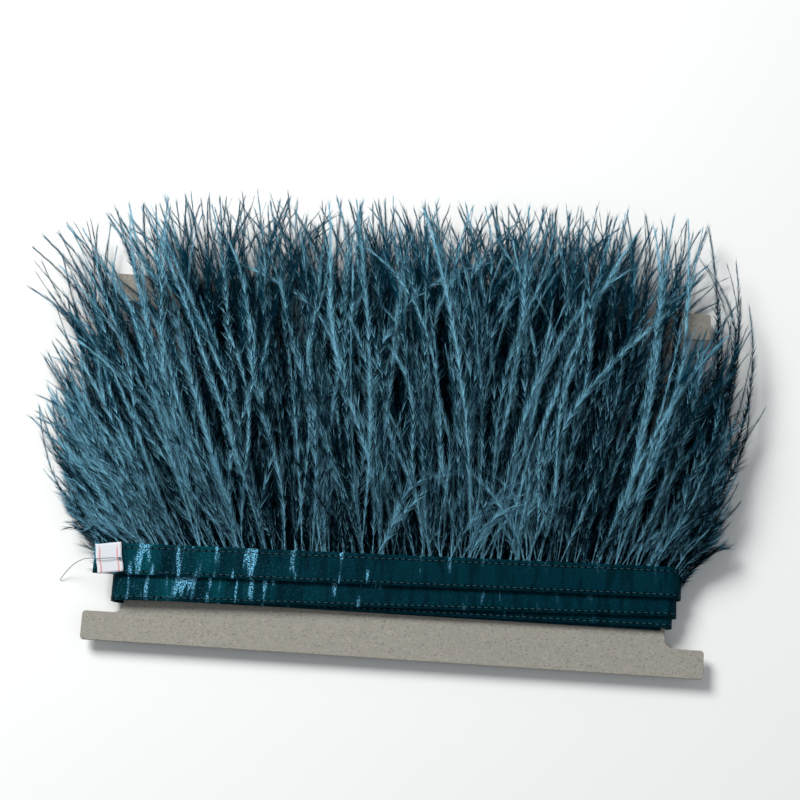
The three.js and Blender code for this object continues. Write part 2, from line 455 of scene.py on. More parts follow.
def chipboard_material():
    made, tree, surface = new_material("grey chipboard")
    s = settings().card
    speck = use_group(tree, shared_group("Speckle", speckle_group),
                      {"Scale": 1250.0, "Stretch": 2.5})
    base = colour_mix(tree, ranged(tree, speck.outputs["Cloud"], 0.3, 0.7, 0.0, 0.35),
                      rgba(s.colour), rgba(s.colour, 0.86))
    dark = maths(tree, "MULTIPLY", ranged(tree, speck.outputs["Specks"], 0.54, 0.68), 0.75)
    base = colour_mix(tree, dark, base, rgba(s.colour, 0.55))
    light = maths(tree, "MULTIPLY", ranged(tree, speck.outputs["Fibres"], 0.52, 0.66), 0.6)
    base = colour_mix(tree, light, base, rgba(s.colour, 1.35))
    bump = node(tree, "ShaderNodeBump",
                {"Strength": 0.35, "Distance": 0.06 * MM, "Height": speck.outputs["Fibres"]})
    set_inputs(tree, surface, {"Base Color": base, "Normal": bump.outputs[0],
                               "Roughness": 0.92, "Specular IOR Level": 0.25})
    return made


def band_place(tree):
    """Along and across a band, in metres, from its own map."""
    place = node(tree, "ShaderNodeSeparateXYZ",
                 {0: node(tree, "ShaderNodeUVMap", uv_map="UVMap").outputs[0]})
    return place.outputs[0], place.outputs[1]


def seam_hole_shade(tree, along, across):
    """Painted shade: dark spots where the thread of the two seams dives into the ribbon, standing
    for the shade in the needle holes.
    """
    s = settings().header
    gap_middle = SEAM_START + (s.stitch_length + s.stitch_pitch) / 2
    turn = maths(tree, "MULTIPLY", maths(tree, "SUBTRACT", along, gap_middle),
                 math.tau / s.stitch_pitch)
    between = ranged(tree, maths(tree, "COSINE", turn), 0.0, 0.6, 0.35, 1.0)
    near = 0.0
    for height in (RIBBON_WIDTH - UPPER_SEAM_INSET, LOWER_SEAM_INSET):
        away = maths(tree, "ABSOLUTE", maths(tree, "SUBTRACT", across, height))
        near = maths(tree, "MAXIMUM", near, ranged(tree, away, 0.62 * MM, 0.34 * MM))
    return maths(tree, "MULTIPLY", near, between)


def satin_material(name, sheen_side):
    """Ribbon satin, with glints of its floats painted into the base colour as painted highlights,
    most of them towards the left end. sheen_side is how strongly these painted glints show.
    """
    made, tree, surface = new_material(name)
    s = settings().header
    along, across = band_place(tree)
    weave = use_group(tree, shared_group("Weave", weave_group),
                      {"Along": along, "Across": across, "Thread": 0.30 * MM})
    place = tree.nodes.new("ShaderNodeTexCoord").outputs["Object"]
    x = node(tree, "ShaderNodeSeparateXYZ", {0: place}).outputs[0]
    stretched = node(tree, "ShaderNodeCombineXYZ",
                     {0: along, 1: maths(tree, "MULTIPLY", across, 0.16), 2: 0.0}).outputs[0]
    creases = node(tree, "ShaderNodeTexNoise",
                   {"Vector": stretched, "Scale": 250.0, "Detail": 2.0, "Distortion": 0.35})
    patches = node(tree, "ShaderNodeTexNoise",
                   {"Vector": stretched, "Scale": 75.0, "Detail": 2.0})
    glints = node(tree, "ShaderNodeTexNoise", {"Vector": place, "Scale": 1500.0, "Detail": 1.0})
    # Rises towards the left end: gathers the painted glints and the lighter teal patches there.
    towards_left_end = ranged(tree, x, 10 * MM, -105 * MM, 0.0, 1.0)
    # Painted highlights: glint streaks along the crests of the creases, and glint specks, for the
    # base colour.
    streak = ranged(tree, maths(tree, "MULTIPLY_ADD", towards_left_end, 0.11, creases.outputs[0]),
                    0.64, 0.735)
    sparkle = maths(tree, "MULTIPLY", streak,
                    ranged(tree, glints.outputs[0], 0.46, 0.57, 0.05, 0.95))
    speckle = maths(tree, "MULTIPLY", ranged(tree, glints.outputs[0], 0.62, 0.72),
                    maths(tree, "MULTIPLY_ADD", towards_left_end, 0.12, 0.03))
    sparkle = maths(tree, "MULTIPLY", maths(tree, "MAXIMUM", sparkle, speckle),
                    maths(tree, "MULTIPLY", ranged(tree, x, 70 * MM, -10 * MM, 0.12, 1.0),
                          sheen_side), clamp=True)
    mottle = node(tree, "ShaderNodeTexNoise", {"Vector": place, "Scale": 1300.0, "Detail": 3.0})
    shade = rgba(s.satin)
    # Tone steps: random patches, the weave, mottling, and darker in the hollows of the creases,
    # which is painted shade.
    for share, times in (
        (ranged(tree, patches.outputs[0], 0.35, 0.65, 0.0, 0.6), 0.62),
        (maths(tree, "MULTIPLY", weave.outputs["Mask"], 0.22), 2.0),
        (ranged(tree, mottle.outputs[0], 0.50, 0.68, 0.0, 0.45), 2.4),
        (ranged(tree, mottle.outputs[0], 0.48, 0.34, 0.0, 0.5), 0.4),
        (ranged(tree, creases.outputs[0], 0.52, 0.40, 0.0, 0.6), 0.35),
    ):
        shade = colour_mix(tree, share, shade, rgba(s.satin, times))
    # Lighter teal patches, more of them towards the left end.
    teal = maths(tree, "MULTIPLY", ranged(tree, patches.outputs[0], 0.38, 0.74),
                 maths(tree, "MULTIPLY_ADD", towards_left_end, 0.35, 0.12))
    shade = colour_mix(tree, teal, shade, rgba([s.satin[0], s.satin[1] * 4.5, s.satin[2] * 3.6]))
    # Painted shade in the needle holes of the seams.
    shade = colour_mix(tree, seam_hole_shade(tree, along, across), shade, rgba(s.satin, 0.1))
    # Painted highlights: the glints in the sparkle colour.
    shade = colour_mix(tree, sparkle, shade, rgba(s.sparkle))
    height = maths(tree, "MULTIPLY_ADD", weave.outputs["Height"], 0.35,
                   maths(tree, "MULTIPLY", creases.outputs[0], 2.2))
    bump = node(tree, "ShaderNodeBump",
                {"Strength": 0.7, "Distance": 0.10 * MM, "Height": height})
    rough = ranged(tree, creases.outputs[0], 0.35, 0.7, 0.55, 0.35)
    set_inputs(tree, surface, {"Base Color": shade, "Roughness": rough,
                               "Normal": bump.outputs[0], "Specular IOR Level": 0.01})
    return made


def thread_material(name, colour):
    """Twisted thread: slanting plies on Object coordinates, darker in the grooves between them and
    lighter on their crowns, which is painted shade and painted highlight.
    """
    made, tree, surface = new_material(name)
    place = node(tree, "ShaderNodeSeparateXYZ",
                 {0: tree.nodes.new("ShaderNodeTexCoord").outputs["Object"]})
    slant = maths(tree, "ADD", place.outputs[0],
                  maths(tree, "ADD", place.outputs[1], place.outputs[2]))
    ply = maths(tree, "SINE", maths(tree, "MULTIPLY", slant, math.tau / THREAD_PLY_PITCH))
    ply_shading = ranged(tree, ply, -1.0, 1.0)
    # Painted shade in the grooves and painted highlight on the crowns of the plies.
    base = colour_mix(tree, ply_shading, rgba(colour, 0.6), rgba(colour, 1.5))
    bump = node(tree, "ShaderNodeBump", {"Strength": 0.6, "Distance": 0.05 * MM, "Height": ply})
    set_inputs(tree, surface, {"Base Color": base, "Normal": bump.outputs[0],
                               "Roughness": 0.5})
    return made


def label_material():
    made, tree, surface = new_material("woven label")
    s = settings().header
    along, across = band_place(tree)
    weave = use_group(tree, shared_group("Weave", weave_group),
                      {"Along": along, "Across": across, "Thread": 0.22 * MM})
    base = colour_mix(tree, maths(tree, "MULTIPLY", weave.outputs["Mask"], 0.25),
                      rgba(s.label_colour), rgba(s.label_colour, 0.85))
    for middle, half in ((1.7 * MM, 0.42 * MM), (9.5 * MM, 0.42 * MM)):
        away = maths(tree, "ABSOLUTE", maths(tree, "SUBTRACT", along, middle))
        inside = ranged(tree, away, half, half * 0.55)
        faded = ranged(tree, across, 13.2 * MM, 10.5 * MM, 0.1, 0.85)
        base = colour_mix(tree, maths(tree, "MULTIPLY", inside, faded), base,
                          rgba(s.stripe_colour))
    bump = node(tree, "ShaderNodeBump",
                {"Strength": 0.4, "Distance": 0.05 * MM, "Height": weave.outputs["Height"]})
    set_inputs(tree, surface, {"Base Color": base, "Normal": bump.outputs[0],
                               "Roughness": 0.55})
    return made


def flue_group(name):
    """Colour of a flue. Its map holds the tint across, stems in the first half and hairs in
    the second, and the place along the flue upwards."""
    tree, given, put = shader_group(
        name,
        [("Place", "NodeSocketVector", (0, 0, 0)), ("Deep", "NodeSocketColor", (0, 0, 0, 1)),
         ("Middle", "NodeSocketColor", (0, 0, 0, 1)), ("Pale", "NodeSocketColor", (0, 0, 0, 1))],
        [("Color", "NodeSocketColor"), ("Roughness", "NodeSocketFloat")])
    place = node(tree, "ShaderNodeSeparateXYZ", {0: given.outputs["Place"]})
    across, along = place.outputs[0], place.outputs[1]
    hair = maths(tree, "GREATER_THAN", across, 0.5)
    tint = maths(tree, "FRACT", maths(tree, "MULTIPLY", across, 2.0))
    # Paler towards the tip: a painted highlight on the lit tips.
    at_tip = ranged(tree, along, 0.58, 1.0)
    paler = maths(tree, "MULTIPLY_ADD", maths(tree, "SUBTRACT", 0.92, tint),
                  maths(tree, "MULTIPLY", at_tip, 0.55), tint)
    base = colour_mix(tree, ranged(tree, paler, 0.0, 0.55), given.outputs["Deep"],
                      given.outputs["Middle"])
    base = colour_mix(tree, ranged(tree, paler, 0.42, 1.12), base, given.outputs["Pale"])
    # Stems are painted paler, more so on pale flues: a painted highlight along the stems.
    stem_highlight = maths(tree, "MULTIPLY", maths(tree, "SUBTRACT", 1.0, hair),
                    ranged(tree, tint, 0.15, 0.8, 0.0, 0.75))
    base = colour_mix(tree, stem_highlight, base, given.outputs["Pale"])
    tree.links.new(base, put.inputs["Color"])
    tree.links.new(ranged(tree, hair, 0.0, 1.0, 0.42, 0.62), put.inputs["Roughness"])
    return tree


def flue_material():
    made, tree, surface = new_material("dyed ostrich flue")
    s = settings().plumes
    group = use_group(tree, shared_group("Flue Colour", flue_group),
                      {"Place": node(tree, "ShaderNodeUVMap", uv_map="UVMap").outputs[0],
                       "Deep": rgba(s.deep), "Middle": rgba(s.middle), "Pale": rgba(s.pale)})
    set_inputs(tree, surface, {"Base Color": group.outputs["Color"],
                               "Roughness": group.outputs["Roughness"],
                               "Specular IOR Level": 0.02})
    return made


# ---- The winding card ------------------------------------------------------


def arc(x, y, radius, start, end, steps):
    turns = [start + (end - start) * i / steps for i in range(steps + 1)]
    return [(x + radius * math.cos(t), y + radius * math.sin(t)) for t in turns]


def card_outline():
    """Outline of the card in its own plane, with the waist let in at both ends."""
    half_x, middle_y = CARD[1].x, (CARD[0].y + CARD[1].y) / 2
    half_y = (CARD[1].y - CARD[0].y) / 2
    tab_edge = half_y - TAB_HEIGHT
    quarter = arc(WAIST_HALF + NOTCH_RADIUS, tab_edge - NOTCH_RADIUS, NOTCH_RADIUS,
                  math.pi, math.pi / 2, 8)
    quarter += arc(half_x - CARD_CORNER, tab_edge + CARD_CORNER, CARD_CORNER, -math.pi / 2, 0, 4)
    quarter += arc(half_x - CARD_CORNER, half_y - CARD_CORNER, CARD_CORNER, 0, math.pi / 2, 4)
    outline = []
    for side_x, side_y in ((1, 1), (-1, 1), (-1, -1), (1, -1)):
        placed = [(side_x * x, middle_y + side_y * y) for x, y in quarter]
        outline += placed if side_x * side_y > 0 else placed[::-1]
    return outline


class FRINGE_OT_card(bpy.types.Operator):
    """Make the notched winding card with its crushed edges"""

    bl_idname = "fringe.card"
    bl_label = "Winding card"

    def execute(self, context):
        outline = card_outline()
        count = len(outline)
        points = [(x, y, z) for z in (CARD_UNDERSIDE, CARD_TOP) for x, y in outline]
        faces = [list(range(count))[::-1], list(range(count, 2 * count))]
        faces += [[i, (i + 1) % count, count + (i + 1) % count, count + i] for i in range(count)]
        card = mesh_object("chipboard_card", points, faces, smooth=False)
        bevel = card.modifiers.new("crushed edge", "BEVEL")
        bevel.width = settings().card.edge_radius
        bevel.segments = 3
        bevel.limit_method = "ANGLE"
        bevel.angle_limit = math.radians(60)
        crushed = plain_mesh(card)
        card.modifiers.clear()
        card.data = crushed
        face_outwards(card, merge_within=SAME_PLACE)
        card.data.materials.append(chipboard_material())
        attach(card, "card")
        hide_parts("winding_card")
        return {"FINISHED"}


# ---- The header's route ----------------------------------------------------


def header_route(step):
    """Stations along the wound header, from its inner end to its outer end, as rows of
    x, z, outward x, outward z, height of the middle, and which pass it is on: front passes
    are 1, 2, ... from the innermost, back passes the same below nought, and folds have the
    two passes that they join on their two halves."""
    rows = []

    def offset(number):
        return SEAT_GAP + (number - 1) * PASS_PITCH

    def straight(x0, x1, z, out, y0, y1, number):
        count = max(int(abs(x1 - x0) / step), 1)
        for i in range(1, count):
            t = i / count
            rows.append((x0 + (x1 - x0) * t, z, 0.0, out, y0 + (y1 - y0) * t, number))

    def fold(side, start, end, from_front, height, first, second):
        for i in range(FOLD_STEPS + 1):
            t = i / FOLD_STEPS
            turn = (0.5 - t if from_front else t - 0.5) * math.pi
            radius = CARD_THICKNESS / 2 + start + (end - start) * t
            out_x, out_z = side * math.cos(turn), math.sin(turn)
            rows.append((side * WAIST_HALF + radius * out_x, CARD_MIDDLE + radius * out_z,
                         out_x, out_z, height, first if t <= 0.5 else second))

    x, y = WAIST_HALF - INNER_END_INSET, LOWEST_CENTRE + INNER_END_RISE
    rows.append((x, CARD_TOP + offset(1), 0.0, 1.0, y, 1))
    for number in range(1, FRONT_PASSES):
        left = LOWEST_CENTRE + LEFT_FOLD_RISE[number - 1]
        right = LOWEST_CENTRE + RIGHT_FOLD_RISE[number - 1]
        straight(x, -WAIST_HALF, CARD_TOP + offset(number), 1.0, y, left, number)
        fold(-1, offset(number), offset(number), True, left, number, -number)
        straight(-WAIST_HALF, WAIST_HALF, CARD_UNDERSIDE - offset(number), -1.0, left, right,
                 -number)
        fold(1, offset(number), offset(number + 1), False, right, -number, number + 1)
        x, y = WAIST_HALF, right
    top = CARD_TOP + offset(FRONT_PASSES)
    straight(x, TAIL_X, top, 1.0, y, LOWEST_CENTRE + TAIL_RISE, FRONT_PASSES)
    rows.append((TAIL_X, top, 0.0, 1.0, LOWEST_CENTRE + TAIL_RISE, FRONT_PASSES))
    return np.array(rows)


def lengths_along(route):
    moves = np.diff(route[:, [0, 1, 4]], axis=0)
    return np.concatenate([[0.0], np.cumsum(np.linalg.norm(moves, axis=1))])


def smooth_noise(rng, places, pitch):
    """Values from -1 to 1 at these places, changing smoothly over about this pitch."""
    count = int(places.max() / pitch) + 3
    knots = rng.uniform(-1, 1, count)
    t = places / pitch
    i = t.astype(int)
    f = t - i
    f = f * f * (3 - 2 * f)
    return knots[i] * (1 - f) + knots[i + 1] * f


def wrapped_band(name, offset, thickness, low, width, columns, puckers):
    """A thin closed band that follows the header. puckers(along, across) says how far each
    place of it stands out of its true layer."""
    route = header_route(settings().header.station_step)
    along = lengths_along(route)
    across = np.linspace(0, 1, columns + 1)
    rise = puckers(along, across, route)
    points, places = [], []
    for layer in (0, 1):
        out = offset + thickness * layer + rise
        x = route[:, 0, None] + out * route[:, 2, None]
        z = route[:, 1, None] + out * route[:, 3, None]
        y = route[:, 4, None] - RIBBON_WIDTH / 2 + low + width * across[None, :] + 0 * x
        points.append(np.stack([x, y, z], axis=2).reshape(-1, 3))
        flat = np.stack([along[:, None] + 0 * x, width * across[None, :] + 0 * x], axis=2)
        places.append(flat.reshape(-1, 2))
    return closed_sheet(name, np.concatenate(points), np.concatenate(places), len(route),
                        columns + 1)


def face_puckers(along, across, route):
    """Small creases across the ribbon, pulled in at the two seams and free on the last pass."""
    rng = np.random.default_rng(5)
    creases = 0.6 * smooth_noise(rng, along, 3.1 * MM)
    creases += 0.4 * smooth_noise(rng, along, 1.3 * MM * 2)
    broad = smooth_noise(rng, along, 17 * MM)
    seams = np.zeros_like(across)
    for inset in (1 - UPPER_SEAM_INSET / RIBBON_WIDTH, LOWER_SEAM_INSET / RIBBON_WIDTH):
        seams += np.exp(-((across - inset) / 0.07) ** 2)
    outer = (route[:, 5] == FRONT_PASSES).astype(float)
    amount = 0.05 * MM + 0.16 * MM * outer
    rise = amount[:, None] * (0.5 + 0.5 * creases[:, None]) * (1 - 0.8 * seams[None, :])
    edge = np.sin(across * math.pi)
    return rise + (0.10 * MM * outer * (0.5 + 0.5 * broad))[:, None] * edge[None, :]


def back_puckers(along, across, route):
    """Shallow dents in the backing ribbon, towards the card."""
    rng = np.random.default_rng(6)
    dents = 0.5 + 0.5 * smooth_noise(rng, along, 4 * MM)
    return -0.04 * MM * dents[:, None] + 0 * across[None, :]


class FRINGE_OT_ribbons(bpy.types.Operator):
    """Wind the face ribbon and the backing ribbon of the header round the card"""

    bl_idname = "fringe.ribbons"
    bl_label = "Header ribbons"

    def execute(self, context):
        # Each ribbon's last number is how strongly its painted glints show.
        for name, node_name, offset, puckers, slot, sparkle in (
            ("face_ribbon", "header_face_ribbon", FACE_OFFSET, face_puckers, "satin", 1.0),
            ("backing_ribbon", "header_backing_ribbon", 0.0, back_puckers, "ribbon_back", 0.3),
        ):
            band = wrapped_band(name, offset, RIBBON_THICKNESS, 0.0, RIBBON_WIDTH, 10, puckers)
            band.data.materials.append(satin_material(name.replace("_", " "), sparkle))
            length = float(lengths_along(header_route(settings().header.station_step))[-1])
            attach(band, TRIM)
            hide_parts(node_name)
        self.cut_end_fibres()
        return {"FINISHED"}

    def cut_end_fibres(self):
        """Short loose yarns where the ribbon was cut, by the label."""
        rng = np.random.default_rng(9)
        count = CUT_END_YARNS
        height = rng.uniform(0.5, 13.5, count)[:, None] * MM
        reach = rng.gamma(2.5, 0.6, count)[:, None] * MM
        steps = np.linspace(0, 1, 5)[None, :]
        end = header_route(settings().header.station_step)[-1]
        x = end[0] + CUT_END_STUB - (reach + CUT_END_STUB) * steps
        strayed = rng.normal(0, 0.5, count)[:, None] * MM * steps ** 2
        y = end[4] - RIBBON_WIDTH / 2 + height + strayed
        droop = rng.uniform(0, 0.9, count)[:, None] * reach * steps ** 2
        z = end[1] + FACE_OFFSET + RIBBON_THICKNESS / 2 - droop
        source = guide_object("cut_end_line", np.stack([x, y, z], axis=2), {})
        fibres = grown("cut_end_fibres", source, stitch_tree(), {
            "Thread Radius": CUT_END_RADIUS,
            "Material": thread_material("loose satin yarn", settings().header.thread_colour)})
        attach(fibres, TRIM)


# ---- Seams: rows of lockstitches -------------------------------------------


def tree_for(name, sockets):
    """Starts a geometry tree with these inputs after its geometry."""
    tree = bpy.data.node_groups.new(name, "GeometryNodeTree")
    socket(tree, "Geometry", "OUTPUT", "NodeSocketGeometry")
    socket(tree, "Geometry", "INPUT", "NodeSocketGeometry")
    for title, kind, default in sockets:
        socket(tree, title, "INPUT", kind, default)
    return tree, tree.nodes.new("NodeGroupInput"), tree.nodes.new("NodeGroupOutput")


def grown(name, source, tree, values):
    """Runs a geometry tree on an object, and keeps what it makes as a plain mesh."""
    modifier = source.modifiers.new(tree.name, "NODES")
    modifier.node_group = tree
    for item in tree.interface.items_tree:
        if item.in_out == "INPUT" and item.name in values:
            modifier[item.identifier] = values[item.name]
    mesh = plain_mesh(source)
    mesh.name = name
    old = source.data
    bpy.data.objects.remove(source)
    bpy.data.meshes.remove(old)
    return add_object(name, mesh)


def guide_object(name, lines, attributes):
    """A mesh of open lines, all with as many points, and float attributes on those points."""
    count, steps = lines.shape[:2]
    index = np.arange(count * steps).reshape(count, steps)
    edges = np.stack([index[:, :-1].ravel(), index[:, 1:].ravel()], axis=1)
    mesh = bpy.data.meshes.new(name)
    mesh.vertices.add(count * steps)
    mesh.vertices.foreach_set("co", lines.astype(np.float32).ravel())
    mesh.edges.add(len(edges))
    mesh.edges.foreach_set("vertices", edges.astype(np.int32).ravel())
    for title, values in attributes.items():
        layer = mesh.attributes.new(title, "FLOAT", "POINT")
        layer.data.foreach_set("value", np.asarray(values, np.float32).ravel())
    mesh.update()
    return add_object(name, mesh)


def stitch_tree():
    """One rounded stitch on each short line: it dips into the ribbon at both ends."""
    tree, given, put = tree_for("Stitches", [
        ("Thread Radius", "NodeSocketFloat", 0.12 * MM), ("Material", "NodeSocketMaterial", None)])
    curve = node(tree, "GeometryNodeMeshToCurve", {"Mesh": given.outputs["Geometry"]})
    along = node(tree, "GeometryNodeSplineParameter").outputs["Factor"]
    bulge = maths(tree, "SINE", maths(tree, "MULTIPLY_ADD", along, math.pi * 0.86, math.pi * 0.07))
    profile = node(tree, "GeometryNodeCurvePrimitiveCircle",
                   {"Resolution": 6, "Radius": given.outputs["Thread Radius"]})
    tube = node(tree, "GeometryNodeCurveToMesh",
                {"Curve": curve.outputs[0], "Profile Curve": profile.outputs["Curve"],
                 "Scale": bulge, "Fill Caps": True})
    real = node(tree, "GeometryNodeRealizeInstances", {0: tube.outputs[0]})
    done = node(tree, "GeometryNodeSetMaterial",
                {"Geometry": real.outputs[0], "Material": given.outputs["Material"]})
    tree.links.new(done.outputs[0], put.inputs[0])
    return tree


def seam_lines(height, rng):
    """Short lines for the stitches of one seam, this far above the ribbon's lower edge."""
    s = settings().header
    route = header_route(s.station_step)
    along = lengths_along(route)
    starts = np.arange(SEAM_START, along[-1] - s.stitch_pitch, s.stitch_pitch)
    steps = np.linspace(0, 1, 5)
    places = starts[:, None] + steps[None, :] * s.stitch_length
    values = [np.interp(places, along, route[:, i]) for i in range(5)]
    x, z, out_x, out_z, middle = values
    lift = SEAM_OFFSET - SEAT_GAP * 0.75 + SEAM_THICKNESS * 0.9 * np.sin(steps * math.pi)[None, :]
    y = middle - RIBBON_WIDTH / 2 + height + rng.normal(0, 0.05 * MM, len(starts))[:, None]
    slant = (steps[None, :] - 0.5) * rng.normal(0.1 * MM, 0.06 * MM, len(starts))[:, None]
    return np.stack([x + lift * out_x, y + slant, z + lift * out_z], axis=2)


class FRINGE_OT_seams(bpy.types.Operator):
    """Sew the two rows of stitches through the ribbons"""

    bl_idname = "fringe.seams"
    bl_label = "Seams"

    def execute(self, context):
        material = thread_material("seam thread", settings().header.thread_colour)
        tree = stitch_tree()
        for index, (name, node_name, height) in enumerate((
            ("upper_seam_stitches", "upper_seam_thread", RIBBON_WIDTH - UPPER_SEAM_INSET),
            ("lower_seam_stitches", "lower_seam_thread", LOWER_SEAM_INSET),
        )):
            lines = seam_lines(height, np.random.default_rng(20 + index))
            source = guide_object(name + "_line", lines, {})
            seam = grown(name, source, tree, {"Thread Radius": SEAM_THREAD_RADIUS,
                                                "Material": material})
            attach(seam, TRIM)
            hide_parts(node_name)
        return {"FINISHED"}


# ---- End label, its tack and the loose thread ------------------------------

LABEL_TURN = math.radians(10)
LABEL_THICKNESS = 0.22 * MM
LABEL_INSET = 0.3 * MM
TACK_THREAD_THICKNESS = 0.35 * MM
KNOT_THREAD_RADIUS = 0.16 * MM
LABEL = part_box("end_label")
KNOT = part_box("label_tack_knot")

# The loose thread's route from the knot, in millimetres from where it leaves it
THREAD_ROUTE = [
    (0, 0, 0), (-3.2, -0.3, 0.5), (-7.8, -0.9, 0.6), (-13.5, -0.9, -1.2), (-18.8, -2.4, -6.6),
    (-23.0, -5.2, -12.4), (-26.3, -9.1, -15.8),
]


def through_points(points, count):
    """A smooth line of this many points through the given ones."""
    p = np.array(points, float)
    p = np.vstack([2 * p[0] - p[1], p, 2 * p[-1] - p[-2]])
    spans = len(p) - 3
    out = []
    for t in np.linspace(0, spans - 1e-9, count):
        i = int(t)
        f = t - i
        a, b, c, d = p[i : i + 4]
        out.append(0.5 * (2 * b + (c - a) * f + (2 * a - 5 * b + 4 * c - d) * f * f
                          + (3 * b - a - 3 * c + d) * f ** 3))
    return np.array(out)


def poly_curve(name, points, radius):
    data = bpy.data.curves.new(name, "CURVE")
    data.dimensions = "3D"
    data.bevel_depth = radius
    data.bevel_resolution = 3
    data.use_fill_caps = True
    spline = data.splines.new("POLY")
    spline.points.add(len(points) - 1)
    for point, place in zip(spline.points, points):
        point.co = (*place, 1)
    return add_object(name, data)


class FRINGE_OT_label(bpy.types.Operator):
    """Make the striped end label with its tack knot and the loose thread"""

    bl_idname = "fringe.label"
    bl_label = "End label and thread"

    def execute(self, context):
        self.label()
        material = thread_material("grey tack thread", settings().header.tack_colour)
        self.knot(material)
        exit_point = Vector((KNOT[0].x - SEAT_GAP, (KNOT[0].y + KNOT[1].y) / 2,
                             (KNOT[0].z + KNOT[1].z) / 2))
        points = [Vector(p) * MM + exit_point for p in THREAD_ROUTE]
        path = through_points(points, 40)
        thread = poly_curve("loose_tack_thread", path, TACK_THREAD_THICKNESS / 2)
        thread.data.materials.append(material)
        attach(thread, TRIM)
        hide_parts("loose_thread")
        return {"FINISHED"}

    def label(self):
        low, high = LABEL
        columns, rows = 12, 14
        middle = (low + high) / 2
        turn = Matrix.Rotation(LABEL_TURN, 2)
        points, places = [], []
        for layer in (0, 1):
            for i in range(columns + 1):
                for j in range(rows + 1):
                    u, v = i / columns, j / rows
                    wave = 0.10 * MM * math.sin(5 * u + 1.5 * v) * u
                    lift = 0.35 * MM * (1 - u) ** 3 + 0.12 * MM
                    x = low.x + (high.x - low.x) * u + 0.15 * MM * math.sin(9 * v)
                    y = low.y + LABEL_INSET + (high.y - low.y - 2 * LABEL_INSET) * v
                    x, y = turn @ Vector((x - middle.x, y - middle.y))
                    points.append((middle.x + x, middle.y + y,
                                   low.z + lift + wave + LABEL_THICKNESS * layer))
                    places.append(((high.x - low.x) * u, (high.y - low.y) * v))
        label = closed_sheet("striped_end_label", points, places, columns + 1, rows + 1)
        label.data.materials.append(label_material())
        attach(label, TRIM)
        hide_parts("end_label")

    def knot(self, material):
        """An overhand knot, wound as a trefoil and squeezed flat."""
        middle = (KNOT[0] + KNOT[1]) / 2
        half = (KNOT[1] - KNOT[0]) / 2
        points = []
        for t in np.linspace(0, math.tau, 60, endpoint=False):
            reach = (2 + math.cos(3 * t)) / 3
            points.append((middle.x + half.x * 0.8 * reach * math.cos(2 * t),
                           middle.y + half.y * 0.8 * reach * math.sin(2 * t),
                           middle.z + half.z * 0.5 * math.sin(3 * t)))
        curve = poly_curve("knot_line", points, KNOT_THREAD_RADIUS)
        curve.data.splines[0].use_cyclic_u = True
        mesh = plain_mesh(curve)
        bpy.data.objects.remove(curve)
        knot = add_object("tack_knot", mesh)
        mesh.materials.clear()
        mesh.materials.append(material)
        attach(knot, TRIM)
        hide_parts("label_tack_knot")


# ---- Plumes ----------------------------------------------------------------


